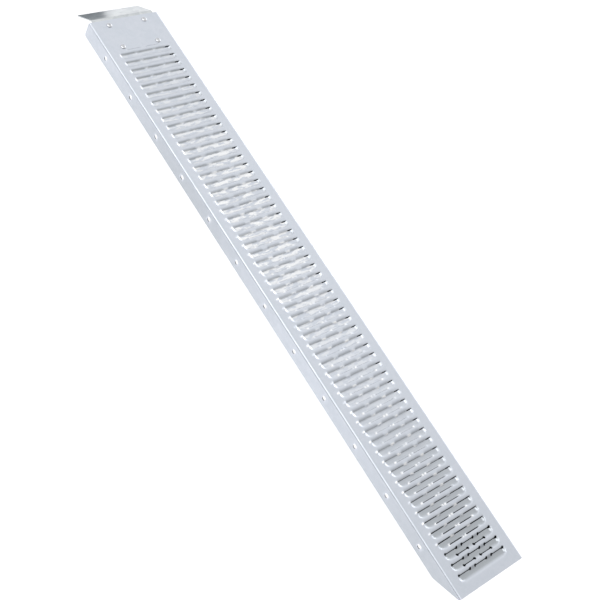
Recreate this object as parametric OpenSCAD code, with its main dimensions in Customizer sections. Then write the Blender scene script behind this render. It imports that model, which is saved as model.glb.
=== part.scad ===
// Dog ramp: one pressed and folded steel deck channel with a riveted lip at its top end.
// X is across the ramp, +Y points up the slope from the ground end to the lip, +Z is up.
// The ramp stands on its flange edges, and the origin is at the middle of its footprint.

/* [Deck channel] */
// Length of the walking deck, without the lip
deck_l = 1600; // [900:10:2200]
// Width over the two side flanges
deck_w = 200; // [160:1:320]
// Height of the side flanges, from the ground to the top of the deck
flange_h = 42; // [34:1:70]
// Thickness of the galvanised sheet
sheet_t = 2; // [1.5:0.1:3]
// Outside radius of the fold between deck and flange
fold_r = 4; // [3.5:0.5:8]
// Length over which the flanges run out to nothing at the ground end
taper_l = 67; // [40:1:120]
// Flange height left at the very end, where the deck meets the ground
taper_nose_h = 5; // [4:0.5:12]
// Corner cut off each flange at the lip end
corner_cut = 4; // [1:0.5:12]

/* [Pressed rungs] */
// Distance from one rung to the next
rung_pitch = 25.4; // [20:0.1:40]
// Ground edge to the upper slit line of the lowest rung
rung_first = 41.4; // [30:0.1:80]
// Plain margin on each side of the rungs
rung_margin = 27.5; // [20:0.5:60]
// Width of the pressed-down band of each rung, along the ramp
band_w = 13.4; // [9:0.1:16.5]
// How far the band is pressed down
band_drop = 4.5; // [3:0.1:8]
// Width of the open slit beside a band
slit_w = 2.2; // [1.8:0.1:4]
// Uncut bridge between two of the three slits above a band
bridge_upper = 9.5; // [6:0.5:16]
// Uncut bridge between the two slits below a band
bridge_lower = 12; // [6:0.5:20]
// Uncut length from the end of a band to the first slit below it
slit_inset = 26.5; // [10:0.5:40]

/* [Flange holes] */
// Distance from one hole to the next
hole_pitch = 124.5; // [60:0.5:180]
// Ground edge to the first hole
hole_first = 134; // [100:1:240]
// Least distance from the last hole to the lip end of the deck
hole_end = 90; // [40:1:140]
// Diameter of the holes
hole_d = 12; // [5:0.5:14]
// Depth of the hole centres below the top of the deck
hole_drop = 21; // [16:0.5:28]

/* [Lip] */
// Thickness of the lip plate
lip_t = 2.5; // [2:0.1:5]
// Gap between each edge of the lip plate and the flange beside it
lip_side_gap = 10; // [4:0.5:30]
// Metal left in the plate past the lower rivets
lip_edge = 13; // [10:0.5:16]
// Flat length of the lip beyond the deck, up to the bend
lip_flat = 7; // [4:0.5:20]
// Angle that the lip is bent down
lip_angle = 35; // [20:1:50]
// Inside radius of the bend
lip_bend_r = 4; // [2:0.5:8]
// Height of the lip's edge above the ground when the ramp lies flat
lip_tip_gap = 1.2; // [0.5:0.1:20]

/* [Blind rivets] */
// Diameter of the rivet shank
rivet_d = 6; // [4.8:0.1:7.2]
// Clearance between shank and hole, on the radius
rivet_clear = 0.05; // [0.02:0.01:0.2]
// Diameter of the domed head
rivet_head_d = 14; // [9:0.5:16]
// Height of the domed head
rivet_head_h = 2.5; // [1.6:0.1:3]
// Diameter of the set end against the lip plate
rivet_bulb_d = 8.8; // [7.5:0.1:10]
// Height of the set end
rivet_bulb_h = 3.2; // [2.5:0.1:4]
// Diameter of the mandrel left in the rivet
mandrel_d = 3.4; // [2.4:0.1:3.6]
// Clearance between mandrel and sleeve, on the radius
mandrel_clear = 0.04; // [0.02:0.01:0.1]
// Diameter of the mandrel head
mandrel_head_d = 5.2; // [4.4:0.1:6]
// Height of the mandrel head
mandrel_head_h = 1.8; // [1:0.1:3]
// Depth of the broken mandrel end below the crown of the head
mandrel_recess = 0.6; // [0.2:0.1:1.5]
// Side face of the channel to the rivets beside it
rivet_side = 49; // [30:1:60]
// Distance along the ramp between the upper and lower rivets
rivet_spacing = 71; // [45:1:90]
// Deck end to the upper pair of rivets
rivet_edge = 17; // [12:1:20]

/* [Hidden] */

$fn = 64;
cut = 1;                            // how far a cutting tool runs past the metal

left = -1;                          // side of the ramp, looking up the slope
right = 1;
upper = 0;                          // pair of rivets, counted from the deck end
lower = 1;

under_deck = flange_h - sheet_t;    // height of the deck's underside
lip_under = rivet_edge + rivet_spacing + lip_edge;
lip_w = deck_w - 2 * (sheet_t + lip_side_gap);
bend_r = lip_bend_r + lip_t;        // outside radius of the lip's bend
bend_steps = 12;                    // flats that make up the bend
lip_drop = under_deck - bend_r + lip_bend_r * cos(lip_angle) - lip_tip_gap;
lip_rest = lip_drop / sin(lip_angle);
lip_reach = lip_flat + bend_r * sin(lip_angle) + lip_rest * cos(lip_angle);
ground_y = -(deck_l + lip_reach) / 2;   // the ground edge of the deck
deck_end_y = ground_y + deck_l;     // the edge under which the lip comes out

field_w = deck_w - 2 * rung_margin;
slit_upper = (field_w - 2 * bridge_upper) / 3;
slit_lower = (field_w - 2 * slit_inset - bridge_lower) / 2;
strip_w = rung_pitch - band_w;      // deck-level strip between two bands
wall_run = slit_w - sheet_t / 2;    // length along the ramp of a band's side wall
slit_clear = sheet_t;               // least metal between the lip plate and the last slits
rung_room = deck_l - lip_under - slit_clear - strip_w - wall_run - rung_first;
rung_count = floor(rung_room / rung_pitch) + 1;
hole_count = floor((deck_l - hole_first - hole_end) / hole_pitch) + 1;
field_start = rung_first - band_w - sheet_t;
field_end = rung_first + (rung_count - 1) * rung_pitch + sheet_t;

grip = sheet_t + lip_t;             // metal clamped by each rivet
head_sphere_r = (pow(rivet_head_d / 2, 2) + pow(rivet_head_h, 2)) / (2 * rivet_head_h);

// Upper slit line of rung i, measured from the ground edge
function rung_y(i) = rung_first + i * rung_pitch;

// Top face of the pressed band of rung i, in Y and Z, with the deck's top at zero
function band_top(i) = [
    [rung_y(i) - band_w, 0],
    [rung_y(i) - band_w + wall_run, -band_drop],
    [rung_y(i) - wall_run, -band_drop],
    [rung_y(i), 0]
];

// Bottom face of the same band, with its side walls half a sheet further out
function band_bottom(i) = [
    [rung_y(i) - band_w - sheet_t / 2, -sheet_t],
    [rung_y(i) - band_w + wall_run - sheet_t / 2, -band_drop - sheet_t],
    [rung_y(i) - wall_run + sheet_t / 2, -band_drop - sheet_t],
    [rung_y(i) + sheet_t / 2, -sheet_t]
];

// Arc of the lip's bend at radius r, in Y and Z, with the deck's underside at zero
function bend_arc(r) = [
    for (k = [0 : bend_steps])
        [lip_flat + r * sin(k * lip_angle / bend_steps),
         r * cos(k * lip_angle / bend_steps) - bend_r]
];

function reversed(points) = [for (i = [len(points) - 1 : -1 : 0]) points[i]];

// Extrude a profile drawn in Y and Z across the ramp, over the width w
module across(w) {
    translate([-w / 2, 0, 0])
        rotate([90, 0, 90])
            linear_extrude(height = w)
                children();
}

// Extrude a profile drawn in X and Z along the deck
module along_deck() {
    rotate([90, 0, 0])
        mirror([0, 0, 1])
            linear_extrude(height = deck_l)
                children();
}

// Folded section of the channel, drawn in X and Z
module channel_section() {
    fold_x = deck_w / 2 - fold_r;
    fold_z = flange_h - fold_r;
    difference() {
        union() {
            translate([-deck_w / 2, 0])
                square([deck_w, fold_z]);
            translate([-fold_x, fold_z])
                square([2 * fold_x, fold_r]);
            for (side = [left, right])
                translate([side * fold_x, fold_z])
                    circle(r = fold_r);
        }
        translate([-deck_w / 2 + sheet_t, -cut])
            square([deck_w - 2 * sheet_t, fold_z + cut]);
        translate([-fold_x, -cut])
            square([2 * fold_x, under_deck + cut]);
        for (side = [left, right])
            translate([side * fold_x, fold_z])
                circle(r = fold_r - sheet_t);
    }
}

// Waste cut from both flanges: the long run-out at the ground and the corners at the lip
module flange_end_waste() {
    across(deck_w + 2 * cut) {
        polygon([
            [-cut, -cut],
            [taper_l, -cut],
            [taper_l, 0],
            [0, flange_h - taper_nose_h],
            [-cut, flange_h - taper_nose_h]
        ]);
        polygon([
            [deck_l - corner_cut, -cut],
            [deck_l + cut, -cut],
            [deck_l + cut, corner_cut],
            [deck_l, corner_cut],
            [deck_l - corner_cut, 0]
        ]);
    }
}

// Opening in the flat deck that the pressed sheet fills
module field_window() {
    translate([-field_w / 2, field_start, under_deck - cut])
        cube([field_w, field_end - field_start, sheet_t + 2 * cut]);
}

// The pressed sheet of all rungs, still without its slits
module pressed_field() {
    top = [for (i = [0 : rung_count - 1]) each band_top(i)];
    bottom = [for (i = [0 : rung_count - 1]) each band_bottom(i)];
    across(field_w)
        polygon(concat(
            [[field_start, -sheet_t], [field_start, 0]],
            top,
            [[field_end, 0], [field_end, -sheet_t]],
            reversed(bottom)
        ));
}

// Walls that close the two ends of every band, under the deck's margins
module band_ends() {
    for (side = [left, right])
        translate([side * (field_w + sheet_t) / 2, 0, 0])
            across(sheet_t)
                for (i = [0 : rung_count - 1])
                    polygon(band_bottom(i));
}

// Cutters for count slits across the ramp, which end at y on their upper side
module slit_row(y, count, slit_l, bridge) {
    for (k = [0 : count - 1])
        translate([(k - (count - 1) / 2) * (slit_l + bridge) - slit_l / 2,
                   y - slit_w,
                   -band_drop - sheet_t - cut])
            cube([slit_l, slit_w, band_drop + sheet_t + 2 * cut]);
}

// Three slits above every band and two below, and two above the highest strip
module rung_slits() {
    for (i = [0 : rung_count - 1])
        slit_row(rung_y(i) + sheet_t / 2, 3, slit_upper, bridge_upper);
    for (i = [1 : rung_count])
        slit_row(rung_y(i) - band_w + wall_run, 2, slit_lower, bridge_lower);
}

// Each drill goes through both flanges
module flange_holes() {
    for (k = [0 : hole_count - 1])
        translate([-deck_w / 2 - cut, hole_first + k * hole_pitch, flange_h - hole_drop])
            rotate([0, 90, 0])
                cylinder(h = deck_w + 2 * cut, d = hole_d);
}

// Place something at one rivet, with z = 0 on the top of the deck
module at_rivet(pair, side) {
    translate([side * (deck_w / 2 - rivet_side),
               deck_end_y - rivet_edge - pair * rivet_spacing,
               flange_h])
        children();
}

module rivet_holes() {
    for (pair = [upper, lower], side = [left, right])
        at_rivet(pair, side)
            translate([0, 0, -grip - cut])
                cylinder(h = grip + 2 * cut, r = rivet_d / 2 + rivet_clear);
}

// Deck, flanges and rungs, all pressed and folded from one sheet
module deck_channel() {
    color("lightsteelblue")
        difference() {
            translate([0, ground_y, 0])
                difference() {
                    union() {
                        difference() {
                            along_deck()
                                channel_section();
                            field_window();
                        }
                        translate([0, 0, flange_h]) {
                            pressed_field();
                            band_ends();
                        }
                    }
                    translate([0, 0, flange_h])
                        rung_slits();
                    flange_holes();
                    flange_end_waste();
                }
            rivet_holes();
        }
}

// Plate that comes out from under the deck and is bent down to rest on a boot or a step
module lip_plate() {
    slope = [cos(lip_angle), -sin(lip_angle)];
    color("silver")
        difference() {
            translate([0, deck_end_y, under_deck])
                across(lip_w)
                    polygon(concat(
                        [[-lip_under, 0]],
                        bend_arc(bend_r),
                        [bend_arc(bend_r)[bend_steps] + lip_rest * slope],
                        [bend_arc(lip_bend_r)[bend_steps] + lip_rest * slope],
                        reversed(bend_arc(lip_bend_r)),
                        [[-lip_under, -lip_t]]
                    ));
            rivet_holes();
        }
}

// Sleeve of a set blind rivet: domed head, shank through both plates, and spread end
module rivet_sleeve(pair, side) {
    color("gainsboro")
        at_rivet(pair, side)
            difference() {
                union() {
                    intersection() {
                        translate([0, 0, rivet_head_h - head_sphere_r])
                            sphere(r = head_sphere_r);
                        cylinder(h = rivet_head_h + cut, d = rivet_head_d);
                    }
                    translate([0, 0, -grip])
                        cylinder(h = grip, d = rivet_d);
                    translate([0, 0, -grip - rivet_bulb_h])
                        cylinder(h = rivet_bulb_h, d1 = rivet_d, d2 = rivet_bulb_d);
                }
                translate([0, 0, -grip - rivet_bulb_h - cut])
                    cylinder(h = grip + rivet_bulb_h + rivet_head_h + 2 * cut,
                             r = mandrel_d / 2 + mandrel_clear);
            }
}

// What stays of the mandrel: its stem inside the sleeve and its head below
module rivet_mandrel(pair, side) {
    color("dimgray")
        at_rivet(pair, side)
            translate([0, 0, -grip - rivet_bulb_h]) {
                cylinder(h = grip + rivet_bulb_h + rivet_head_h - mandrel_recess, d = mandrel_d);
                translate([0, 0, -mandrel_head_h])
                    cylinder(h = mandrel_head_h, d = mandrel_head_d);
            }
}

module rivet_upper_left() rivet_sleeve(upper, left);
module rivet_upper_right() rivet_sleeve(upper, right);
module rivet_lower_left() rivet_sleeve(lower, left);
module rivet_lower_right() rivet_sleeve(lower, right);
module mandrel_upper_left() rivet_mandrel(upper, left);
module mandrel_upper_right() rivet_mandrel(upper, right);
module mandrel_lower_left() rivet_mandrel(lower, left);
module mandrel_lower_right() rivet_mandrel(lower, right);

deck_channel();
lip_plate();
rivet_upper_left();
rivet_upper_right();
rivet_lower_left();
rivet_lower_right();
mandrel_upper_left();
mandrel_upper_right();
mandrel_lower_left();
mandrel_lower_right();
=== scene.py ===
"""Dog ramp: a galvanised channel with pressed rungs, a riveted lip and a pale studio stage."""

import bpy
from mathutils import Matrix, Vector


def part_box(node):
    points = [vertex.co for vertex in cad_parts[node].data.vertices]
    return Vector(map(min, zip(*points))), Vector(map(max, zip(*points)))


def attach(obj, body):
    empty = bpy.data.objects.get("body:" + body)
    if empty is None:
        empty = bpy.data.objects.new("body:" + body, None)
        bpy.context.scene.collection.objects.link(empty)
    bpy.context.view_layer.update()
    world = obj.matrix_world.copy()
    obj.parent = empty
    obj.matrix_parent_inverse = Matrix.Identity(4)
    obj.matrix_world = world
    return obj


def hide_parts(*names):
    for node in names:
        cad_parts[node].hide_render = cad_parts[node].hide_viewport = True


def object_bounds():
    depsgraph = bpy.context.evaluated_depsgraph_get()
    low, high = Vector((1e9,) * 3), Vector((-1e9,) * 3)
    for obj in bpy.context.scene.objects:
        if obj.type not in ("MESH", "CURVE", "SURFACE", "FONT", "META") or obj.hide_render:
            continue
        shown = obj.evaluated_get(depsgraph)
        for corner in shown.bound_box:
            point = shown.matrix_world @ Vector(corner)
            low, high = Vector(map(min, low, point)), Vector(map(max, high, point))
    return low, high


bl_info = {
    "name": "Dog Ramp",
    "version": (1, 0, 0),
    "blender": (4, 5, 0),
    "location": "3D View > Sidebar > Dog Ramp",
    "description": "Builds a pressed and galvanised dog ramp around its measured frame",
    "category": "Object",
}

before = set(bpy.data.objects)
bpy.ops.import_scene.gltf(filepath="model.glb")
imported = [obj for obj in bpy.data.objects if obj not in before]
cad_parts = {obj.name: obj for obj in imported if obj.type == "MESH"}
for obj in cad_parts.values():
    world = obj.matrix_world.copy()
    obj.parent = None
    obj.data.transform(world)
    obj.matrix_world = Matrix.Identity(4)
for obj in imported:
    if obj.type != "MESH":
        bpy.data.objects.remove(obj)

import math
import random

import bpy
from bpy.props import FloatProperty, FloatVectorProperty, IntProperty, PointerProperty
from mathutils import Matrix, Vector

MM = 0.001
CAD_LOW, CAD_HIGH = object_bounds()
DECK_LOW, DECK_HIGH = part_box("deck_channel")
LIP_LOW, LIP_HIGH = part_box("lip_plate")
ENDS = [f"{pair}_{side}" for pair in ("upper", "lower") for side in ("left", "right")]
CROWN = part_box("rivet_upper_left")[1].z - DECK_HIGH.z
ACROSS = Vector((1, 0, 0))
ALONG = Vector((0, 1, 0))
UP = Vector((0, 0, 1))

# Mesh steps
DECK_CELL = 3.6 * MM
LIP_CELL = 12 * MM
LEAST_CELL = 0.2 * MM
EYE_CLEARANCE = 0.4 * MM
EYE_TURNS = (0, 50, 90, 130, 155)
RIVET_CELL = 2.0  # half the flat square around a rivet hole, in hole radii
RIVET_REACH = 1.8  # the square that is punched: a little less, as near rows and columns were merged
ROW_MARGIN = 0.9  # share of the clearance at a slit line that has no other rows
SHARP_ANGLE = math.radians(40)
DOME_STEPS = 10
REST_STEPS = 6

# Painted shade and painted highlight on the deck and flanges. A middle or a spread is a share of the deck's
# length, seen from the ground end.
# painted shade in the pressed bands fades out over this run from the ground edge
GROUND_SHADE_RUN = 600 * MM
# painted highlight in the bands past the middle: where it is strongest and how far it spreads
HIGHLIGHT_MIDDLE, HIGHLIGHT_SPREAD = 0.62, 0.26
# painted shade on the flanges: where it is strongest along the ramp, and how much
FLANGE_SHADE_MIDDLE, FLANGE_SHADE_SPREAD = 0.69, 0.17
FLANGE_GROUND_SPREAD = 0.35
FLANGE_SHADE_BASE, FLANGE_GROUND_SHADE, FLANGE_MIDDLE_SHADE = 0.17, 0.4, 0.42

# The black card, which stands in for the shade under the ramp, in shares of the distance from the ground
# edge to the first slit line
CARD_START = 0.55
CARD_LONGER = 0.3


def linear(hex_value):
    """Linear red, green and blue of an sRGB hex colour."""
    parts = [int(hex_value[i:i + 2], 16) / 255 for i in (1, 3, 5)]
    return [c / 12.92 if c <= 0.04045 else ((c + 0.055) / 1.055) ** 2.4 for c in parts]


def length(name, description, millimetres):
    return FloatProperty(name=name, description=description, default=millimetres * MM, unit="LENGTH")


def degrees(name, description, value):
    return FloatProperty(name=name, description=description, default=math.radians(value), subtype="ANGLE")


def plain(name, description, value):
    return FloatProperty(name=name, description=description, default=value)


def share(name, description, value):
    return FloatProperty(name=name, description=description, default=value, min=0, max=1, subtype="FACTOR")


def count(name, description, value):
    return IntProperty(name=name, description=description, default=value, min=1)


def direction(name, description, value):
    return FloatVectorProperty(name=name, description=description, default=value, subtype="XYZ")


def colour(name, description, hex_value):
    return FloatVectorProperty(
        name=name, description=description, default=linear(hex_value), subtype="COLOR", min=0, max=1
    )


class ChannelSizes(bpy.types.PropertyGroup):
    """The folded channel, apart from what its box in the frame says."""

    sheet: length("Sheet", "Thickness of the galvanised sheet", 2)
    fold: length("Fold radius", "Outside radius between deck and flange", 4)
    fold_steps: count("Fold steps", "Flats in a fold", 6)
    taper: length("Taper", "Length over which the flanges run out at the ground end", 67)
    nose: length("Nose", "Flange height left at the ground edge", 5)
    corner: length("Corner", "Corner cut off each flange at the lip end", 4)
    hole: length("Hole radius", "Radius of the flange holes", 6)
    hole_pitch: length("Hole pitch", "Distance between flange holes", 124.5)
    hole_first: length("First hole", "Ground edge to the first flange hole", 134)
    hole_drop: length("Hole drop", "Top of the deck to the hole centres", 21)
    hole_count: count("Holes", "Holes in each flange", 12)
    hole_cell: length("Hole cell", "Half the flat square meshed around a flange hole", 9)
    hole_sides: count("Hole sides", "Points around a hole", 32)


class RungSizes(bpy.types.PropertyGroup):
    """The pressed and slit rungs."""

    count: count("Rungs", "Number of pressed bands", 58)
    pitch: length("Pitch", "Distance from one rung to the next", 25.4)
    first: length("First", "Ground edge to the upper slit line of the lowest rung", 41.4)
    margin: length("Margin", "Plain deck beside the slits", 27.5)
    band: length("Band", "Width of a pressed band along the ramp", 13.4)
    drop: length("Drop", "How far a band is pressed down", 4.3)
    upper_bridge: length("Upper bridge", "Metal left between two of the three upper slits", 9.5)
    lower_bridge: length("Lower bridge", "Metal left between the two lower slits", 12)
    inset: length("Inset", "End of a band to the first slit below it", 26.5)
    half_gap: length("Half gap", "Half the width of an open slit, seen from above", 1.1)
    wide_gap: length("Wide gap", "Half the width of the slits in the first rungs", 0.9)
    narrow: share("Narrow slit", "Width of the other slits as a share of a wide one", 0.2)
    wide_run: length("Wide run", "Length of the wide part at the right end of a row of slits", 16)
    wide_rows: count("Wide rows", "Rungs at the ground end whose slits are wide and have round eyes", 3)
    fade_rows: count("Fade rows", "Rungs over which the slits then become narrow", 9)
    shut_rows: count("Shut rows", "Rungs above which the bridges lie as deep as the slits", 28)
    burr: length("Burr", "Height of the raised metal at the end of a slit", 2.1)
    burr_radius: length("Burr radius", "Radius of the raised metal at the end of a slit", 2.1)
    eye: length("Slit eye", "Radius of the round eye at each end of a slit", 3.2)
    edge: length("Edge", "Reach of the drawn metal on each side of a slit line", 4.2)
    open_run: length("Opening run", "Distance over which a slit opens from its end", 5)
    end_run: length("End run", "Length of the rolled end of a band", 7)
    end_radius: length("End radius", "Corner radius of a band seen from above", 8)
    shallow: share("Shallow", "How much less the upper rungs are pressed down, as a share", 0.3)
    overhang: length("Overhang", "How far a band's end reaches beyond its slits", 2)
    roll: length("Roll", "How far the lower edge of a tread is rolled down", 2.1)
    stray: length("Stray", "Random difference in depth from rung to rung", 0.25)
    tilt: length("Tilt", "How much shallower a band is at its lower edge", 1.7)
    roll_run: length("Roll run", "Width of the rolled part of a tread", 5.5)
    # painted shade: the width of the darker line painted along a slit
    slit_shade: length("Grime", "Width of the dull line along a slit", 2.4)


class LipSizes(bpy.types.PropertyGroup):
    """The bent lip plate."""

    plate: length("Plate", "Thickness of the lip plate", 2.5)
    flat: length("Flat", "Flat length beyond the deck, up to the bend", 7)
    bend: length("Bend radius", "Inside radius of the bend", 4)
    bend_angle: degrees("Bend angle", "How far the lip is bent down", 35)
    bend_steps: count("Bend steps", "Flats in the bend", 12)


class RivetSizes(bpy.types.PropertyGroup):
    """The set blind rivets and where they sit."""

    side: length("Side", "Side of the channel to the rivet centres", 49)
    edge: length("Edge", "Lip end of the deck to the first pair", 17)
    spacing: length("Spacing", "Distance between the two pairs", 71)
    hole: length("Hole", "Radius of the rivet holes", 3.05)
    shank: length("Shank", "Radius of the shank", 3)
    head: length("Head", "Radius of the domed head", 7)
    rim: length("Rim", "Height of the head's rim", 0.4)
    bulb: length("Bulb", "Radius of the folded blind end", 4.4)
    bulb_height: length("Bulb height", "Height of the folded blind end", 3.2)
    bore: length("Bore", "Radius of the mandrel hole", 1.74)
    stem: length("Stem", "Radius of the mandrel stem", 1.7)
    knob: length("Mandrel head", "Radius of the mandrel head", 2.6)
    knob_height: length("Mandrel head height", "Height of the mandrel head", 1.8)
    recess: length("Recess", "Top of the head to the broken mandrel end", 0.05)
    sides: count("Sides", "Steps around a rivet", 48)


class FinishColours(bpy.types.PropertyGroup):
    """Colours of the zinc, the steel and the stage."""

    zinc_light: colour("Light zinc", "Bright crystals of the zinc coat", "#DBE0E9")
    zinc_dark: colour("Dark zinc", "Dull crystals of the zinc coat", "#D3D9E2")
    # painted highlight: near-white zinc painted into the bands past the middle and onto the raised metal at
    # slit ends
    painted_highlight_zinc: colour("Bright zinc", "Freshly stretched zinc in the pressed bands", "#FDFEFF")
    # painted shade: this darker zinc is mixed in where the deck and flanges are given painted shade
    painted_shade_zinc: colour("Dusty zinc", "Zinc with dust on it", "#AEB3B8")
    plate_light: colour("Light plate", "Bright zinc on the lip plate", "#DDE1E3")
    plate_dark: colour("Dark plate", "Dull zinc on the lip plate", "#CBD0D4")
    rivet: colour("Rivet", "Zinc-plated rivet steel", "#E2E4E8")
    mandrel: colour("Mandrel", "Bare drawn steel", "#C9CBCF")
    floor: colour("Floor", "Plain pale studio floor", "#F4F4F5")
    # painted shade: the black card stands in for the shade under the ramp, seen through the slits
    card: colour("Card", "Black card under the slits", "#1B1D20")
    flag: colour("Flag", "Grey flag beyond the lip", "#858C92")


class StageSizes(bpy.types.PropertyGroup):
    """Camera, floor and light."""

    camera_place: FloatVectorProperty(
        name="Camera place", description="Where the camera stands", unit="LENGTH",
        default=(-1.44875, -0.76149, 1.91387),
    )
    camera_right: direction("Camera right", "Direction to the camera's right", (0.75555, -0.52720, 0.38884))
    camera_ahead: direction("Camera ahead", "Where the camera looks", (0.58326, 0.27116, -0.76569))
    lens: plain("Lens", "Focal length in millimetres", 64.735)
    floor_size: length("Floor", "Half the side of the floor", 30000)
    floor_drop: length("Floor drop", "Distance of the floor below the ramp", 900)
    floor_glow: plain("Floor glow", "Light that comes through the floor", 0.32)
    sky_base: plain("Sky base", "Brightness of the studio at right angles to the light", 0.48)
    sky_lift: plain("Sky lift", "How much brighter the studio is towards the light", 0.42)
    box_light: plain("Softbox light", "Brightness that a softbox adds", 1.8)
    box_spread: degrees("Softbox spread", "Half the width of a softbox", 16)
    card_height: length("Card height", "Height of the black card inside the channel", 30)
    flag_left: length("Flag left", "Left side of the lip to the left side of the flag", -60)
    flag_right: length("Flag right", "Left side of the lip to the right side of the flag", 150)
    flag_away: length("Flag away", "Tip of the lip to the flag", 120)
    flag_depth: length("Flag depth", "How far the flag reaches below the ramp", 200)
    flag_top: length("Flag top", "How far the flag reaches above the foot of the ramp", 20)
    card_inset: length("Card inset", "Card to the side of the channel", 6)
    sky_way: direction("Sky way", "Direction of the brightest part of the studio", (0.25, 0.55, 0.8))
    top_box: direction("Top softbox", "Direction of the softbox overhead", (-0.15, 0.3, 0.95))
    side_box: direction("Side softbox", "Direction of the softbox at the right", (0.93, 0.3, 0.15))


class DogRamp(bpy.types.PropertyGroup):
    """Everything that a user would change."""

    channel: PointerProperty(type=ChannelSizes)
    rungs: PointerProperty(type=RungSizes)
    lip: PointerProperty(type=LipSizes)
    rivets: PointerProperty(type=RivetSizes)
    colours: PointerProperty(type=FinishColours)
    stage: PointerProperty(type=StageSizes)


# ---- finishes


def add_node(tree, kind, settings=None, **inputs):
    """Add a shader node with its settings, and set or link the inputs that are named.

    In an input's name _ is a space, and _ with a number after it is the input of that number.
    """
    node = tree.nodes.new("ShaderNode" + kind)
    for name, value in (settings or {}).items():
        setattr(node, name, value)
    for name, value in inputs.items():
        key = name.replace("_", " ").strip()
        socket = node.inputs[int(key)] if key.isdigit() else node.inputs[key]
        if isinstance(value, bpy.types.NodeSocket):
            tree.links.new(value, socket)
        else:
            socket.default_value = value
    return node


def new_finish(name):
    """An empty node material, with its tree and the piece's own coordinates in metres."""
    material = bpy.data.materials.new(name)
    material.use_nodes = True
    tree = material.node_tree
    tree.nodes.clear()
    return material, tree, add_node(tree, "TexCoord").outputs["Object"]


def rgba(value):
    return (*value, 1.0)


def hot_dip_galvanised_sheet(colours):
    """Deck sheet, coated in a zinc bath: flat grey crystals, faint rolling lines, a soft ripple, painted
    shade and painted highlights in streaks, with a bump under the highlights."""
    material, tree, place = new_finish("hot_dip_galvanised_sheet")
    crystal = 9 * MM
    rolling = 0.9 * MM  # real rolling lines are about 0.1 mm apart, too fine to show
    ripple = 60 * MM
    streaks = 6 * MM
    cells = add_node(tree, "TexVoronoi", Vector=place, Scale=1 / crystal)
    shade = add_node(tree, "SeparateColor", Color=cells.outputs["Color"])
    cloud = add_node(tree, "TexNoise", Vector=place, Scale=1 / (5 * crystal), Detail=4.0)
    mixed = add_node(tree, "Math", {"operation": "MULTIPLY_ADD"}, _0=shade.outputs[0], _1=0.3,
                     _2=cloud.outputs[0])
    clear = add_node(tree, "MapRange", Value=mixed.outputs[0], From_Min=0.35, From_Max=0.95)
    zinc = add_node(tree, "Mix", {"data_type": "RGBA"}, _0=clear.outputs[0], _6=rgba(colours.zinc_dark),
                    _7=rgba(colours.zinc_light))
    # painted shade: the point attribute mixes the zinc toward the darker colour
    painted_shade = add_node(tree, "Attribute", {"attribute_name": "painted_shade"})
    tint = add_node(tree, "Mix", {"data_type": "RGBA"}, _0=painted_shade.outputs["Fac"], _6=zinc.outputs[2],
                    _7=rgba(colours.painted_shade_zinc))
    # painted highlight: noise streaks, where the point attribute asks for it, mix the zinc toward
    # near-white, with a bump there too
    brushed = add_node(tree, "Mapping", Vector=place, Scale=(0.3, 1.0, 1.0))
    streak = add_node(tree, "TexNoise", Vector=brushed.outputs[0], Scale=1 / streaks, Detail=3.0)
    patch = add_node(tree, "MapRange", Value=streak.outputs[0], From_Min=0.44, From_Max=0.54)
    painted_highlight_share = add_node(tree, "Attribute", {"attribute_name": "bright"})
    lit = add_node(tree, "Math", {"operation": "MULTIPLY", "use_clamp": True}, _0=patch.outputs[0],
                   _1=painted_highlight_share.outputs["Fac"])
    coat = add_node(tree, "Mix", {"data_type": "RGBA"}, _0=lit.outputs[0], _6=tint.outputs[2],
                    _7=rgba(colours.painted_highlight_zinc))
    drawn = add_node(tree, "Mapping", Vector=place, Scale=(1.0, 0.03, 1.0))
    lines = add_node(tree, "TexNoise", Vector=drawn.outputs[0], Scale=1 / rolling, Detail=3.0)
    wave = add_node(tree, "TexNoise", Vector=place, Scale=1 / ripple, Detail=1.0)
    rough = add_node(tree, "MapRange", Value=mixed.outputs[0], From_Min=0.3, From_Max=1.0,
                     To_Min=0.40, To_Max=0.30)
    fine = add_node(tree, "Bump", Strength=0.10, Distance=0.05 * MM, Height=lines.outputs[0])
    broad = add_node(tree, "Bump", Strength=0.25, Distance=1.2 * MM, Height=wave.outputs[0],
                     Normal=fine.outputs[0])
    pressed = add_node(tree, "Bump", Strength=lit.outputs[0], Distance=1.1 * MM,
                       Height=streak.outputs[0], Normal=broad.outputs[0])
    shader = add_node(tree, "BsdfPrincipled", Base_Color=coat.outputs[2], Metallic=1.0,
                      Roughness=rough.outputs[0], Normal=pressed.outputs[0])
    add_node(tree, "OutputMaterial", Surface=shader.outputs[0])
    return material


def galvanised_plate(colours):
    """Lip plate, smoother than the deck, so that it mirrors its surroundings softly."""
    material, tree, place = new_finish("galvanised_plate")
    crystal = 14 * MM
    scratch = 0.7 * MM  # real scratches are about 0.1 mm wide, too fine to show
    cells = add_node(tree, "TexVoronoi", Vector=place, Scale=1 / crystal)
    shade = add_node(tree, "SeparateColor", Color=cells.outputs["Color"])
    zinc = add_node(tree, "Mix", {"data_type": "RGBA"}, _0=shade.outputs[0], _6=rgba(colours.plate_dark),
                    _7=rgba(colours.plate_light))
    drawn = add_node(tree, "Mapping", Vector=place, Scale=(0.04, 1.0, 1.0))
    lines = add_node(tree, "TexNoise", Vector=drawn.outputs[0], Scale=1 / scratch, Detail=3.0)
    rough = add_node(tree, "MapRange", Value=lines.outputs[0], To_Min=0.30, To_Max=0.36)
    fine = add_node(tree, "Bump", Strength=0.04, Distance=0.05 * MM, Height=lines.outputs[0])
    shader = add_node(tree, "BsdfPrincipled", Base_Color=zinc.outputs[2], Metallic=1.0,
                      Roughness=rough.outputs[0], Normal=fine.outputs[0])
    add_node(tree, "OutputMaterial", Surface=shader.outputs[0])
    return material


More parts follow.
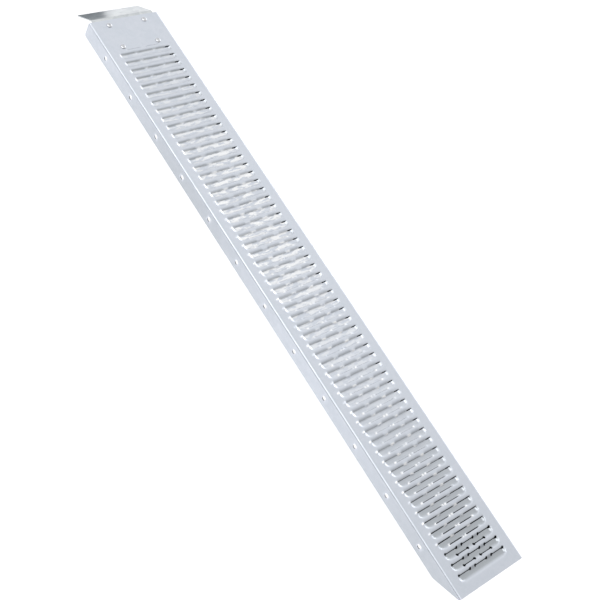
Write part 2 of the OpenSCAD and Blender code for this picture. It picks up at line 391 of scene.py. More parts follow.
def grained_steel(name, light, roughness, grain):
    """Steel whose tone, gloss and surface vary over grains of the given size."""
    material, tree, place = new_finish(name)
    speck = add_node(tree, "TexNoise", Vector=place, Scale=1 / grain, Detail=4.0)
    dark = [0.85 * c for c in light]
    clear = add_node(tree, "MapRange", Value=speck.outputs[0], From_Min=0.3, From_Max=0.7)
    tone = add_node(tree, "Mix", {"data_type": "RGBA"}, _0=clear.outputs[0], _6=rgba(dark), _7=rgba(light))
    rough = add_node(tree, "MapRange", Value=speck.outputs[0], To_Min=roughness - 0.06,
                     To_Max=roughness + 0.06)
    fine = add_node(tree, "Bump", Strength=0.15, Distance=0.04 * MM, Height=speck.outputs[0])
    shader = add_node(tree, "BsdfPrincipled", Base_Color=tone.outputs[2], Metallic=1.0,
                      Roughness=rough.outputs[0], Normal=fine.outputs[0])
    add_node(tree, "OutputMaterial", Surface=shader.outputs[0])
    return material


def zinc_plated_rivet_steel(colours):
    """Rivet sleeve: bright zinc plate over formed steel, with a fine orange peel."""
    return grained_steel("zinc_plated_rivet_steel", colours.rivet, 0.24, 0.8 * MM)


def drawn_mandrel_steel(colours):
    """Mandrel: bare drawn steel, dull where it broke off."""
    return grained_steel("drawn_mandrel_steel", colours.mandrel, 0.5, 0.5 * MM)


def dull_card(name, tone):
    """Studio card: dull board with a fine tooth."""
    material, tree, place = new_finish(name)
    grain = 1 * MM  # real board has a finer one, too fine to show
    tooth = add_node(tree, "TexNoise", Vector=place, Scale=1 / grain, Detail=2.0)
    fine = add_node(tree, "Bump", Strength=0.1, Distance=0.1 * MM, Height=tooth.outputs[0])
    shader = add_node(tree, "BsdfPrincipled", Base_Color=rgba(tone), Roughness=0.9, Normal=fine.outputs[0])
    add_node(tree, "OutputMaterial", Surface=shader.outputs[0])
    return material


def matt_floor_paint(colours, glow):
    """Studio floor: matt white sheet, lit a little from below, with a barely visible tooth."""
    material, tree, place = new_finish("matt_floor_paint")
    grain = 4 * MM  # real paint has a finer one, too fine to show
    tooth = add_node(tree, "TexNoise", Vector=place, Scale=1 / grain, Detail=2.0)
    fine = add_node(tree, "Bump", Strength=0.02, Distance=0.1 * MM, Height=tooth.outputs[0])
    shader = add_node(tree, "BsdfPrincipled", Base_Color=rgba(colours.floor), Roughness=0.9,
                      Normal=fine.outputs[0], Emission_Color=rgba(colours.floor), Emission_Strength=glow)
    add_node(tree, "OutputMaterial", Surface=shader.outputs[0])
    return material


# ---- mesh tools


def smooth_step(value):
    """0 below 0, 1 above 1, and a smooth rise between."""
    value = min(max(value, 0.0), 1.0)
    return value * value * (3 - 2 * value)


def rise(value):
    """0 below -1, 1 above 1, and a smooth rise between."""
    return smooth_step((value + 1) / 2)


def filled(values, largest):
    """The values in order, with more put evenly into each step that is longer than largest."""
    values = sorted(set(round(v, 7) for v in values))
    out = values[:1]
    for low, high in zip(values, values[1:]):
        parts = max(1, math.ceil((high - low) / largest - 0.01))
        out += [low + (high - low) * k / parts for k in range(1, parts + 1)]
    return out


def show(name, mesh, finish, nodes):
    """Make the mesh a smooth piece on the root body, in place of the CAD nodes named."""
    mesh.validate()
    mesh.shade_smooth()
    mesh.set_sharp_from_angle(angle=SHARP_ANGLE)
    mesh.materials.append(finish)
    piece = bpy.data.objects.new(name, mesh)
    bpy.context.scene.collection.objects.link(piece)
    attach(piece, "root")
    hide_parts(*nodes)


class Sheet:
    """Sheet metal given by its outer face. Two points in one place are one point."""

    def __init__(self, thickness):
        self.thickness = thickness
        self.numbers = {}
        self.points = []
        self.normals = []
        # painted shade and painted highlight of each point
        self.painted_shade = []
        self.bright = []
        self.faces = []

    def point(self, place, normal, painted_shade=0.0, bright=0.0):
        key = tuple(round(c / MM, 4) for c in place)
        if key not in self.numbers:
            self.numbers[key] = len(self.points)
            self.points.append(Vector(place))
            self.normals.append(Vector(normal))
            self.painted_shade.append(painted_shade)
            self.bright.append(bright)
        return self.numbers[key]

    def face(self, *corners):
        """Add a face, leaving out repeated corners and turning it to face outwards."""
        ring = [c for k, c in enumerate(corners) if c != corners[k - 1]]
        if len(set(ring)) < 3:
            return
        first = self.points[ring[0]]
        area = Vector()
        for a, b in zip(ring[1:], ring[2:]):
            area += (self.points[a] - first).cross(self.points[b] - first)
        outward = sum((self.normals[c] for c in ring), Vector())
        self.faces.append(ring if area.dot(outward) > 0 else ring[::-1])

    def grid(self, points, left_out):
        """Faces between rows of point numbers, apart from the cells left out."""
        for r, (low, high) in enumerate(zip(points, points[1:])):
            for c in range(len(low) - 1):
                if (r, c) not in left_out:
                    self.face(low[c], low[c + 1], high[c + 1], high[c])

    def punch(self, points, rows, columns, centre, across, along, radius, sides):
        """Fill the cells between two rows and two columns with a flat that has a round hole."""
        (r0, r1), (c0, c1) = rows, columns
        rim = {points[r][c] for r in range(r0, r1 + 1) for c in (c0, c1)}
        rim |= {points[r][c] for r in (r0, r1) for c in range(c0, c1 + 1)}
        normal = self.normals[points[r0][c0]]
        hole = []
        for k in range(sides):
            turn = 2 * math.pi * k / sides
            spoke = math.cos(turn) * across + math.sin(turn) * along
            hole.append(self.point(centre + radius * spoke, normal))

        def bearing(number):
            offset = self.points[number] - centre
            return math.atan2(offset.dot(along), offset.dot(across)) % (2 * math.pi)

        rim = sorted(rim, key=bearing)
        hole = sorted(hole, key=bearing)
        laps = (0, 2 * math.pi)
        turns = [[(bearing(p) + lap, p) for lap in laps for p in loop] for loop in (rim, hole)]
        i = j = 0
        while i < len(rim) or j < len(hole):
            step_rim = j >= len(hole) or (i < len(rim) and turns[0][i + 1][0] <= turns[1][j + 1][0])
            if step_rim:
                self.face(turns[0][i][1], turns[0][i + 1][1], turns[1][j][1])
                i += 1
            else:
                self.face(turns[0][i][1], turns[1][j + 1][1], turns[1][j][1])
                j += 1
        return {(r, c) for r in range(r0, r1) for c in range(c0, c1)}

    def mesh(self, name):
        """The closed sheet: its outer face, its inner face and every cut edge, without unused points."""
        used = sorted({c for ring in self.faces for c in ring})
        total = len(used)
        number = {c: n for n, c in enumerate(used)}
        faces = [[number[c] for c in ring] for ring in self.faces]
        outer = [self.points[c] for c in used]
        inner = [self.points[c] - self.normals[c] * self.thickness for c in used]
        sides = {(a, b) for ring in faces for a, b in zip(ring, ring[1:] + ring[:1])}
        cut = sorted((b, a, a + total, b + total) for a, b in sides if (b, a) not in sides)
        under = [[c + total for c in reversed(ring)] for ring in faces]
        mesh = bpy.data.meshes.new(name)
        mesh.from_pydata(outer + inner, [], faces + under + cut)
        # the painted shade and painted highlight become point attributes of the mesh
        for label, values in (("painted_shade", self.painted_shade), ("bright", self.bright)):
            shown = [values[c] for c in used]
            mesh.attributes.new(label, "FLOAT", "POINT").data.foreach_set("value", shown + [0.0] * total)
        return mesh


def between(values, low, high):
    """Numbers of the last value at or below low and the first at or above high."""
    first = max(k for k, v in enumerate(values) if v <= low + 1e-7)
    last = min(k for k, v in enumerate(values) if v >= high - 1e-7)
    return first, last


def turned(name, profile, sides, centre):
    """A turned mesh. The profile is (radius, height) points, going up outside and down inside."""
    points = []
    rings = []
    for radius, height in profile:
        steps = sides if radius > 0 else 1
        rings.append(range(len(points), len(points) + steps))
        for k in range(steps):
            turn = 2 * math.pi * k / steps
            points.append(centre + Vector((radius * math.cos(turn), radius * math.sin(turn), height)))
    pairs = list(zip(rings, rings[1:]))
    if len(rings[0]) > 1:
        pairs.append((rings[-1], rings[0]))
    faces = []
    for low, high in pairs:
        for k in range(sides):
            after = k + 1
            ring = [low[k % len(low)], low[after % len(low)], high[after % len(high)], high[k % len(high)]]
            ring = [c for n, c in enumerate(ring) if c != ring[n - 1]]
            faces.append(ring)
    mesh = bpy.data.meshes.new(name)
    mesh.from_pydata(points, [], faces)
    return mesh


# ---- deck


def nearest(lines, y, pitch):
    """The slit line nearest to y."""
    number = round((y - lines[0].place) / pitch)
    return lines[min(max(number, 0), len(lines) - 1)]


class SlitLine:
    """One line of slits across the deck: its place, its slits, and how open they stand."""

    OPENING = 4 * MM  # over this length the wide part at the right end opens
    LEFT_BURR = 0.15  # share of the burr's height that is left on the upper rungs
    NARROW_EYE = 0.6  # how far a slit without an eye tapers at its end, in eye radii

    def __init__(self, place, slits, rungs, number, end):
        self.place = place
        self.slits = slits
        self.rungs = rungs
        self.wide = number < rungs.wide_rows
        self.least = max(0.0, 1 - (number - rungs.wide_rows) / rungs.fade_rows)
        self.end = end
        self.half_gap = rungs.wide_gap if self.wide else rungs.half_gap
        self.shut = smooth_step((number - rungs.shut_rows) / rungs.shut_rows)
        self.raised = rungs.burr * (1 - (1 - self.LEFT_BURR) * self.shut)

    def width(self, x):
        """How wide the slits stand at x: 1 all along the first rungs and at the right end of the others."""
        if self.wide:
            return 1.0
        return max(self.least, smooth_step((x - self.end + self.rungs.wide_run) / self.OPENING))

    def inside(self, x):
        """Distance from x to the nearer end of the slit that it is in, or a negative number outside."""
        return max(min(x - low, high - x) for low, high in self.slits)

    def gap(self, x):
        """Half the width of the opening at x. A wide slit has a round eye at each end."""
        depth = self.inside(x)
        if depth < -1e-6:
            return self.half_gap
        if depth < 1e-6:
            return 0.0
        eye = self.rungs.eye
        if not self.wide:
            open_part = self.rungs.narrow + (1 - self.rungs.narrow) * self.width(x)
            return self.half_gap * open_part * smooth_step(depth / (self.NARROW_EYE * eye))
        round_part = math.sqrt(max(eye ** 2 - (depth - eye) ** 2, 0.0))
        return max(round_part, self.half_gap) if depth > eye else round_part

    def burr(self, x, y):
        """Height of the metal raised at the ends of the slits that have no eye."""
        away = abs(y - self.place)
        if self.wide or away > 3 * self.rungs.burr_radius or x > self.end - self.rungs.wide_run:
            return 0.0
        near = self.inside(x) + self.NARROW_EYE * self.rungs.eye
        reach = (away ** 2 + near ** 2) / self.rungs.burr_radius ** 2
        return self.raised * math.exp(-reach)

    def pressed(self, x):
        """Share of the full shape at x: less at a bridge, apart from the upper rungs."""
        return max(self.shut * smooth_step((self.end - abs(x)) / self.rungs.open_run),
                   smooth_step(self.inside(x) / self.rungs.open_run))

    def reach(self, x):
        """How far the metal is drawn on each side: far at a bridge, not at all along a slit."""
        depth = smooth_step(self.inside(x) / self.rungs.open_run)
        return self.rungs.edge + (self.half_gap - self.rungs.edge) * depth


class Deck:
    """The folded channel with its pressed rungs, as one sheet."""

    STEEPER_ROLL = 0.35  # how much further the treads of the upper rungs are rolled down
    LEVEL_END = 0.7  # how much of the roll is missing where a slit stands wide open
    LOWER_SLIT_SHADE = 0.6  # painted shade along a slit of the lower rungs
    UPPER_SLIT_SHADE = 0.7  # painted shade that the upper rungs have on top of that
    WALL_SHADE_REACH = 5 * MM  # reach of the painted shade at the right end of a band
    WALL_START = 6  # that painted shade is whole once a point is a sixth of the way into the band
    HIGHLIGHT_FADE = 12 * MM  # reach of the zinc without painted highlight at the right end of a band
    GLINT_STRENGTH = 2.2  # strength of the painted highlight on the metal raised at a slit's end

    def __init__(self, channel, rungs, rivets):
        self.channel = channel
        self.rungs = rungs
        self.rivets = rivets
        self.ground = DECK_LOW.y
        self.half_width = DECK_HIGH.x
        self.top = DECK_HIGH.z
        self.band_end = self.half_width - rungs.margin
        self.upper = []
        self.lower = []
        self.place_slits()

    def place_slits(self):
        rungs = self.rungs
        end = self.band_end
        side = (2 * end - 2 * rungs.upper_bridge) / 3
        starts = [-end + k * (side + rungs.upper_bridge) for k in range(3)]
        upper = [(start, start + side) for start in starts]
        inner = rungs.lower_bridge / 2
        outer = end - rungs.inset
        lower = [(-outer, -inner), (inner, outer)]
        for k in range(rungs.count):
            place = self.ground + rungs.first + k * rungs.pitch
            self.upper.append(SlitLine(place, upper, rungs, k, end))
            if k:
                self.lower.append(SlitLine(place - rungs.band, lower, rungs, k, end))
        closed = self.ground + rungs.first + rungs.count * rungs.pitch - rungs.band
        self.lower.append(SlitLine(closed, lower, rungs, rungs.count, end))
        dice = random.Random(7)
        self.stray = [dice.uniform(-rungs.stray, rungs.stray) for k in range(rungs.count)]

    def columns(self):
        """Places across the flat of the deck."""
        flat = self.half_width - self.channel.fold
        eye = self.rungs.eye
        values = [-flat, flat, -self.band_end - self.rungs.overhang, self.band_end + self.rungs.overhang]
        for low, high in self.upper[0].slits + self.lower[0].slits:
            for turn in EYE_TURNS:
                step = eye * (1 - math.cos(math.radians(turn)))
                values += [low + step, high - step]
            values += [low - eye, high + eye]
        rivet = self.half_width - self.rivets.side
        values += [s * (rivet + t * RIVET_CELL * self.rivets.hole) for s in (-1, 1) for t in (-1, 1)]
        values = sorted(values)
        kept = values[:1]
        for value in values[1:]:
            if value - kept[-1] > LEAST_CELL:
                kept.append(value)
        return filled(kept, DECK_CELL)

    def rows(self):
        """(place, slit line or None, side) of each row of points along the ramp."""
        rungs = self.rungs
        lines = sorted(self.upper + self.lower, key=lambda line: line.place)
        fixed = [self.ground, self.ground + self.channel.taper, DECK_HIGH.y,
                 DECK_HIGH.y - self.channel.corner]
        fixed.append(self.ground + rungs.first - rungs.band)
        for pair in (0, 1):
            place = DECK_HIGH.y - self.rivets.edge - pair * self.rivets.spacing
            fixed += [place - RIVET_CELL * self.rivets.hole, place + RIVET_CELL * self.rivets.hole]
        clear = rungs.eye + EYE_CLEARANCE
        fixed = [f for f in fixed if all(abs(f - line.place) > clear for line in lines)]
        for line in lines:
            fixed += [line.place + s * reach for s in (-1, 1) for reach in (rungs.edge, clear)]
        places = filled(fixed, DECK_CELL)
        places = [p for p in places if all(abs(p - line.place) > ROW_MARGIN * clear for line in lines)]
        rows = [(p, None, 0) for p in places]
        rows += [(line.place, line, side) for line in lines for side in (-1, 1)]
        return sorted(rows, key=lambda row: (row[0], row[2]))

    def depth(self, x, y):
        """How far the outer face lies below the top of the deck, and how deep in a band it is."""
        rungs = self.rungs
        k = (y - self.ground - rungs.first + rungs.band / 2) / rungs.pitch
        deepest = 0.0
        inside = 0.0
        for n in {math.floor(k), math.floor(k) + 1}:
            if not 0 <= n < rungs.count:
                continue
            upper = self.upper[n]
            bottom = upper.place - rungs.band
            lower = self.lower[n - 1] if n else None
            fall = rise((upper.place - y) / upper.reach(x))
            climb = rise((y - bottom) / (lower.reach(x) if lower else rungs.edge))
            up = min(max((y - bottom) / rungs.end_radius, 0.0), 1.0)
            corner = rungs.end_radius * (1 - math.sqrt(1 - (1 - up) ** 2))
            wall = smooth_step((self.band_end + rungs.overhang - corner - abs(x)) / rungs.end_run)
            in_band = fall * climb * wall
            lean = (rungs.tilt + self.stray[n]) * min(max((upper.place - y) / rungs.band, 0.0), 1.0)
            pressed = 1 - rungs.shallow * smooth_step((n - rungs.wide_rows) / rungs.fade_rows)
            deepest = max(deepest, in_band * pressed * (rungs.drop - lean))
            inside = max(inside, in_band)
            above = (y - upper.place) / rungs.roll_run
            if above > 0:
                roll = rungs.roll * (1 + self.STEEPER_ROLL * upper.shut)
                opened = upper.pressed(x) * (1 - self.LEVEL_END * upper.width(x))
                deepest = max(deepest, roll * opened * (1 - smooth_step(above)))
        for lines in (self.upper, self.lower):
            deepest -= nearest(lines, y, rungs.pitch).burr(x, y)
        return deepest, inside

    def dull(self, x, y, inside):
        """How much shade is painted on the zinc: in the bands near the ground, at their right ends, and
        along the slits.
        """
        line = nearest(self.upper, y, self.rungs.pitch)
        # painted shade: a darker line just above each upper row of slits, stronger on the upper rungs
        above = max(y - line.place, 0.0) / self.rungs.slit_shade
        along = line.pressed(x) if y > line.place - 1 * MM else 0.0
        slit_shade = (self.LOWER_SLIT_SHADE + self.UPPER_SLIT_SHADE * line.shut) * along * math.exp(-above ** 2)
        # painted shade: the pressed bands are darker near the ground end
        ground = inside * (1 - smooth_step((y - self.ground) / GROUND_SHADE_RUN))
        # painted shade: a band's right end is darker
        at_wall = smooth_step((x - self.band_end + self.WALL_SHADE_REACH) / self.WALL_SHADE_REACH)
        return max(ground, min(1.0, self.WALL_START * inside) * at_wall, slit_shade)

    def painted_highlight_share(self, x, y, inside):
        """How much highlight is painted on the zinc: most in the bands past the middle, and on the metal
        raised at slits.
        """
        burrs = [nearest(lines, y, self.rungs.pitch).burr(x, y) for lines in (self.upper, self.lower)]
        # painted highlight: a glint on the raised metal at slit ends
        burr_glint = self.GLINT_STRENGTH * max(burrs) / self.rungs.burr
        # painted highlight in the bands past the middle of the deck, fading toward their right ends
        bell = math.exp(-((self.share_along(y) - HIGHLIGHT_MIDDLE) / HIGHLIGHT_SPREAD) ** 2)
        highlighted = inside * bell * smooth_step((self.band_end - x) / self.HIGHLIGHT_FADE)
        return max(highlighted, burr_glint)

    def share_along(self, y):
        """0 at the ground edge and 1 at the lip end of the deck."""
        return (y - self.ground) / (DECK_HIGH.y - self.ground)

    def across(self):
        """Points across the channel as (kind, value): left flange, fold, deck, fold, right flange."""
        flange = self.top - self.channel.fold
        hole = self.top - self.channel.hole_drop
        cell = self.channel.hole_cell
        drops = [0.0, 1 - (hole - cell) / flange, 1 - (hole + cell) / flange, 1.0]
        drops = sorted(set(drops + [1 - hole / flange]))
        steps = self.channel.fold_steps
        turns = [math.pi / 2 * k / steps for k in range(1, steps)]
        left = [("flange", -1, d) for d in reversed(drops)] + [("fold", -1, t) for t in turns]
        right = [("fold", 1, t) for t in reversed(turns)] + [("flange", 1, d) for d in drops]
        return left + [("deck", 0, x) for x in self.columns()] + right

    def hem(self, y):
        """Height of the flange's lower edge."""
        run_out = (self.top - self.channel.nose) * (1 - (y - self.ground) / self.channel.taper)
        return max(0.0, run_out, self.channel.corner - (DECK_HIGH.y - y))

    def spot(self, column, row):
        """Place, normal, painted shade and painted highlight of one point."""
        kind, side, value = column
        y, line, edge = row
        if kind == "deck":
            if line:
                y += edge * line.gap(value)
            down, inside = self.depth(value, y)
            place = (value, y, self.top - down)
            return place, UP, self.dull(value, y, inside), self.painted_highlight_share(value, y, inside)
        fold = self.channel.fold
        if line:
            y += edge * line.half_gap
        if kind == "fold":
            normal = side * math.cos(value) * ACROSS + math.sin(value) * UP
            middle = Vector((side * (self.half_width - fold), y, self.top - fold))
            return middle + fold * normal, normal, 0.0, 0.0
        start = self.top - fold
        height = start - value * (start - self.hem(y))
        return (side * self.half_width, y, height), side * ACROSS, self.flange_shade(y), 0.0

    def flange_shade(self, y):
        """How much shade is painted on the flanges: most at the ground end and past the middle."""
        along = self.share_along(y)
        ground = 1 - smooth_step(along / FLANGE_GROUND_SPREAD)
        grip = math.exp(-((along - FLANGE_SHADE_MIDDLE) / FLANGE_SHADE_SPREAD) ** 2)
        return min(1.0, FLANGE_SHADE_BASE + FLANGE_GROUND_SHADE * ground + FLANGE_MIDDLE_SHADE * grip)

    def build(self):
        sheet = Sheet(self.channel.sheet)
        columns = self.across()
        rows = self.rows()
        points = [[sheet.point(*self.spot(column, row)) for column in columns] for row in rows]
        left_out = set()
        for r, (_, line, side) in enumerate(rows):
            if side != -1:
                continue
            for c, (low, high) in enumerate(zip(columns, columns[1:])):
                if low[0] == high[0] == "deck" and line.inside((low[2] + high[2]) / 2) > 0:
                    left_out.add((r, c))
        left_out |= self.punch_flanges(sheet, points, rows, columns)
        left_out |= self.punch_rivet_holes(sheet, points, rows, columns)
        sheet.grid(points, left_out)
        return sheet.mesh("galvanised_deck")

    def punch_flanges(self, sheet, points, rows, columns):
        channel = self.channel
        places = [row[0] for row in rows]
        taken = set()
        height = self.top - channel.hole_drop
        for side in (-1, 1):
            numbers = [c for c, column in enumerate(columns) if column[:2] == ("flange", side)]
            numbers = sorted(numbers, key=lambda c: columns[c][2])
            span = sorted((numbers[1], numbers[-2]))
            for k in range(channel.hole_count):
                y = self.ground + channel.hole_first + k * channel.hole_pitch
                ends = between(places, y - channel.hole_cell, y + channel.hole_cell)
                centre = Vector((side * self.half_width, y, height))
                taken |= sheet.punch(points, ends, span, centre, ALONG, UP, channel.hole, channel.hole_sides)
        return taken

    def punch_rivet_holes(self, sheet, points, rows, columns):
        rivets = self.rivets
        places = [row[0] for row in rows]
        flat = {column[2]: c for c, column in enumerate(columns) if column[0] == "deck"}
        values = sorted(flat)
        taken = set()
        for name in ENDS:
            centre = rivet_place(rivets, name)
            reach = RIVET_REACH * rivets.hole
            ends = between(places, centre.y - reach, centre.y + reach)
            low, high = between(values, centre.x - reach, centre.x + reach)
            span = (flat[values[low]], flat[values[high]])
            taken |= sheet.punch(points, ends, span, centre, ACROSS, ALONG, rivets.hole,
                                 self.channel.hole_sides)
        return taken


# ---- lip and rivets


def rivet_place(rivets, name):
    """Middle of a rivet hole, on top of the deck."""
    pair, side = name.split("_")
    x = DECK_HIGH.x - rivets.side
    y = DECK_HIGH.y - rivets.edge - (rivets.spacing if pair == "lower" else 0)
    return Vector((-x if side == "left" else x, y, DECK_HIGH.z))


def lip_mesh(lip, channel, rivets):
    """The lip plate: a flat under the deck, a bend, and a rest that slopes down to its tip."""
    sheet = Sheet(lip.plate)
    top = LIP_HIGH.z
    outer = lip.bend + lip.plate
    bend_start = DECK_HIGH.y + lip.flat
    reach = RIVET_CELL * rivets.hole
    places = [LIP_LOW.y, bend_start]
    for pair in (0, 1):
        y = DECK_HIGH.y - rivets.edge - pair * rivets.spacing
        places += [y - reach, y + reach]
    path = [(y, top, UP) for y in filled(places, LIP_CELL)]
    for k in range(1, lip.bend_steps + 1):
        turn = lip.bend_angle * k / lip.bend_steps
        normal = Vector((0, math.sin(turn), math.cos(turn)))
        path.append((bend_start + outer * normal.y, top - outer + outer * normal.z, normal))
    y, z, normal = path[-1]
    rest = (z - lip.plate * normal.z - LIP_LOW.z) / normal.y
    for k in range(1, REST_STEPS + 1):
        step = rest * k / REST_STEPS
        path.append((y + step * normal.z, z - step * normal.y, normal))
    x = DECK_HIGH.x - rivets.side
    cells = [s * (x + t * reach) for s in (-1, 1) for t in (-1, 1)]
    columns = filled([LIP_LOW.x, LIP_HIGH.x] + cells, LIP_CELL)
    points = [[sheet.point((c, y, z), normal) for c in columns] for y, z, normal in path]
    places = [y for y, z, normal in path]
    taken = set()
    for name in ENDS:
        centre = rivet_place(rivets, name)
        centre.z = top
        ends = between(places, centre.y - reach, centre.y + reach)
        span = between(columns, centre.x - reach, centre.x + reach)
        taken |= sheet.punch(points, ends, span, centre, ACROSS, ALONG, rivets.hole, channel.hole_sides)
    sheet.grid(points, taken)
    return sheet.mesh("bent_lip")


def rivet_profile(rivets, grip):
    """The set sleeve from its blind end up: folded bulb, shank, flat under the head, rim and dome."""
    foot = -grip - rivets.bulb_height
    fold = rivets.bulb - rivets.shank
    # (share of the way from shank to bulb, share of the bulb's height)
    blind = [(0.0, 0.06), (0.45, 0.35), (0.85, 0.68), (1.0, 0.86), (1.0, 0.97)]
    profile = [(rivets.bore, foot + 0.1 * MM), (rivets.bore + 0.3 * MM, foot), (0.93 * rivets.shank, foot)]
    profile += [(rivets.shank + fold * out, foot + rivets.bulb_height * up) for out, up in blind]
    profile += [(rivets.shank, -grip), (rivets.shank, 0.0), (rivets.head - 0.15 * MM, 0.0),
                (rivets.head, 0.15 * MM), (rivets.head, rivets.rim)]
    mouth = rivets.bore + 0.35 * MM
    for k in range(1, DOME_STEPS + 1):
        radius = rivets.head + (mouth - rivets.head) * k / DOME_STEPS
        outward = (radius - mouth) / (rivets.head - mouth)
        profile.append((radius, rivets.rim + (CROWN - rivets.rim) * math.sqrt(max(1 - outward ** 2, 0.0))))
    profile += [(rivets.bore + 0.1 * MM, CROWN - 0.1 * MM), (rivets.bore, CROWN - 0.35 * MM)]
    return profile


def mandrel_profile(rivets, grip):
    """The mandrel from its head up to the neck where it broke."""
    foot = -grip - rivets.bulb_height - rivets.knob_height
    knob = rivets.knob
    seat = foot + rivets.knob_height
    broken = CROWN - rivets.recess
    return [(0.0, foot), (0.55 * knob, foot + 0.05 * MM), (0.85 * knob, foot + 0.25 * MM),
            (knob, foot + 0.75 * MM), (knob, seat - 0.3 * MM), (0.93 * knob, seat), (rivets.stem, seat),
            (rivets.stem, broken - 0.5 * MM), (0.8 * rivets.stem, broken - 0.15 * MM),
            (0.45 * rivets.stem, broken), (0.0, broken - 0.1 * MM)]


def set_four(piece, profile, rivets, finish, node):
    """Put a turned piece into each rivet hole."""
    for name in ENDS:
        mesh = turned(piece + name, profile, rivets.sides, rivet_place(rivets, name))
        show(piece + name, mesh, finish, [node + name])


# ---- stage


def flat_sheet(name, corners, finish):
    """A stage object with one four-cornered face."""
    mesh = bpy.data.meshes.new(name)
    mesh.from_pydata(corners, [], [(0, 1, 2, 3)])
    mesh.materials.append(finish)
    sheet = bpy.data.objects.new(name, mesh)
    bpy.context.scene.collection.objects.link(sheet)
    return sheet


def lay_card(ramp):
    """A black card inside the channel that stands in for the shade under the ramp, so that no light comes up
    through the slits and they look dark.
    """
    rungs = ramp.rungs
    left = DECK_LOW.x + ramp.stage.card_inset
    right = DECK_HIGH.x - ramp.stage.card_inset
    near = DECK_LOW.y + CARD_START * rungs.first
    far = near + rungs.count * rungs.pitch + CARD_LONGER * rungs.first
    height = ramp.stage.card_height
    corners = [(left, near, height), (right, near, height), (right, far, height), (left, far, height)]
    flat_sheet("painted_shade_card", corners, dull_card("painted_shade_card", ramp.colours.card))


def stand_flag(ramp):
    """A grey flag beyond the lip's left side, seen only as a dark reflection in the lip."""
    stage = ramp.stage
    left = LIP_LOW.x + stage.flag_left
    right = LIP_LOW.x + stage.flag_right
    y = LIP_HIGH.y + stage.flag_away
    low = -stage.flag_depth
    high = stage.flag_top
    corners = [(left, y, low), (right, y, low), (right, y, high), (left, y, high)]
    flag = flat_sheet("grey_flag", corners, dull_card("grey_flag", ramp.colours.flag))
    flag.visible_camera = False
    flag.visible_diffuse = False


def light_the_studio(stage):
    """A soft white studio, brightest in one direction, with a softbox overhead and one at the right."""
    world = bpy.data.worlds.new("soft_studio")
    bpy.context.scene.world = world
    world.use_nodes = True
    tree = world.node_tree
    tree.nodes.clear()
    way = add_node(tree, "TexCoord").outputs["Generated"]
    towards = add_node(tree, "VectorMath", {"operation": "DOT_PRODUCT"}, _0=way,
                       _1=Vector(stage.sky_way).normalized())
    strength = add_node(tree, "Math", {"operation": "MULTIPLY_ADD"}, _0=towards.outputs["Value"],
                        _1=stage.sky_lift, _2=stage.sky_base)
    total = strength.outputs[0]
    edge = math.cos(stage.box_spread)
    for box_way in (stage.top_box, stage.side_box):
        towards = add_node(tree, "VectorMath", {"operation": "DOT_PRODUCT"}, _0=way,
                           _1=Vector(box_way).normalized())
        box = add_node(tree, "MapRange", {"interpolation_type": "SMOOTHSTEP"},
                       Value=towards.outputs["Value"], From_Min=2 * edge - 1, From_Max=edge,
                       To_Min=0.0, To_Max=stage.box_light)
        lit = add_node(tree, "Math", {"operation": "ADD"}, _0=total, _1=box.outputs[0])
        total = lit.outputs[0]
    glow = add_node(tree, "Background", Color=(1, 1, 1, 1), Strength=total)
    add_node(tree, "OutputWorld", Surface=glow.outputs[0])


def place_camera(stage):
    """The camera, from its place, its right-hand direction and the way it looks."""
    data = bpy.data.cameras.new("studio_camera")
    data.lens = stage.lens
    camera = bpy.data.objects.new("studio_camera", data)
    bpy.context.scene.collection.objects.link(camera)
    right = Vector(stage.camera_right).normalized()
    back = -Vector(stage.camera_ahead).normalized()
    up = back.cross(right)
    turn = Matrix((right, up, back)).transposed().to_4x4()
    camera.matrix_world = Matrix.Translation(stage.camera_place) @ turn
    bpy.context.scene.camera = camera


# ---- operators


class RAMP_OT_deck(bpy.types.Operator):
    """Build the folded channel with its pressed rungs, slits and flange holes"""

    bl_idname = "ramp.deck"
    bl_label = "Deck channel"

    def execute(self, context):
        ramp = context.scene.dog_ramp
        mesh = Deck(ramp.channel, ramp.rungs, ramp.rivets).build()
        finish = hot_dip_galvanised_sheet(ramp.colours)
        show("galvanised_deck", mesh, finish, ["deck_channel"])
        return {"FINISHED"}


class RAMP_OT_lip(bpy.types.Operator):
    """Build the bent plate that hooks onto the step"""

    bl_idname = "ramp.lip"
    bl_label = "Lip plate"

    def execute(self, context):
        ramp = context.scene.dog_ramp
        mesh = lip_mesh(ramp.lip, ramp.channel, ramp.rivets)
        show("bent_lip", mesh, galvanised_plate(ramp.colours), ["lip_plate"])
        return {"FINISHED"}


class RAMP_OT_rivets(bpy.types.Operator):
    """Set the four blind rivets"""

    bl_idname = "ramp.rivets"
    bl_label = "Blind rivets"

    def execute(self, context):
        ramp = context.scene.dog_ramp
        finish = zinc_plated_rivet_steel(ramp.colours)
        profile = rivet_profile(ramp.rivets, ramp.channel.sheet + ramp.lip.plate)
        set_four("blind_rivet_", profile, ramp.rivets, finish, "rivet_")
        return {"FINISHED"}


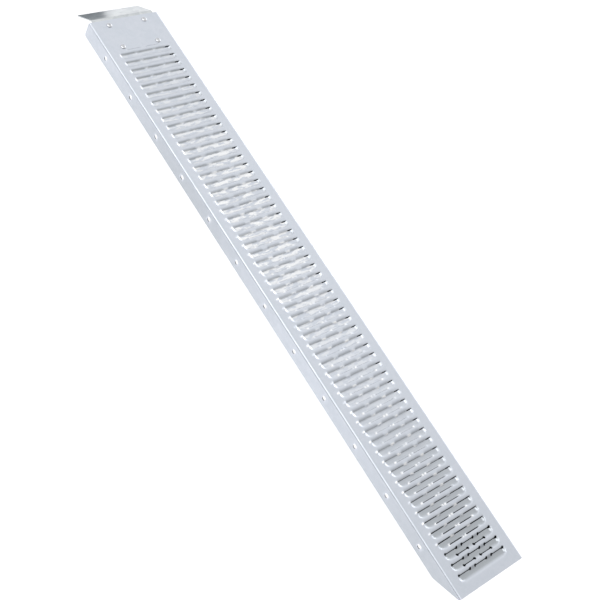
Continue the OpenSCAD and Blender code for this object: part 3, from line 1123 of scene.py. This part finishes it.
class RAMP_OT_mandrels(bpy.types.Operator):
    """Put the broken mandrels into the rivets"""

    bl_idname = "ramp.mandrels"
    bl_label = "Rivet mandrels"

    def execute(self, context):
        ramp = context.scene.dog_ramp
        finish = drawn_mandrel_steel(ramp.colours)
        profile = mandrel_profile(ramp.rivets, ramp.channel.sheet + ramp.lip.plate)
        set_four("broken_mandrel_", profile, ramp.rivets, finish, "mandrel_")
        return {"FINISHED"}


class RAMP_OT_stage(bpy.types.Operator):
    """Put down the floor, the studio light and the camera"""

    bl_idname = "ramp.stage"
    bl_label = "Stage"

    def execute(self, context):
        ramp = context.scene.dog_ramp
        stage = ramp.stage
        half = stage.floor_size
        level = CAD_LOW.z - stage.floor_drop
        corners = [(-half, -half, level), (half, -half, level), (half, half, level), (-half, half, level)]
        flat_sheet("studio_floor", corners, matt_floor_paint(ramp.colours, stage.floor_glow))
        lay_card(ramp)
        stand_flag(ramp)
        light_the_studio(stage)
        place_camera(stage)
        context.scene.view_settings.view_transform = "Standard"
        return {"FINISHED"}


class RAMP_PT_panel(bpy.types.Panel):
    """Buttons that build the ramp, in order"""

    bl_idname = "RAMP_PT_panel"
    bl_label = "Dog Ramp"
    bl_space_type = "VIEW_3D"
    bl_region_type = "UI"
    bl_category = "Dog Ramp"

    def draw(self, context):
        for step in STEPS:
            self.layout.operator(step.bl_idname)


SIZES = (ChannelSizes, RungSizes, LipSizes, RivetSizes, FinishColours, StageSizes, DogRamp)
STEPS = (RAMP_OT_stage, RAMP_OT_deck, RAMP_OT_lip, RAMP_OT_rivets, RAMP_OT_mandrels)


def register():
    for part in (*SIZES, *STEPS, RAMP_PT_panel):
        bpy.utils.register_class(part)
    bpy.types.Scene.dog_ramp = PointerProperty(type=DogRamp)


def unregister():
    del bpy.types.Scene.dog_ramp
    for part in reversed((*SIZES, *STEPS, RAMP_PT_panel)):
        bpy.utils.unregister_class(part)


def main():
    register()
    for step in STEPS:
        group, name = step.bl_idname.split(".")
        getattr(getattr(bpy.ops, group), name)()


if __name__ == "__main__":
    main()
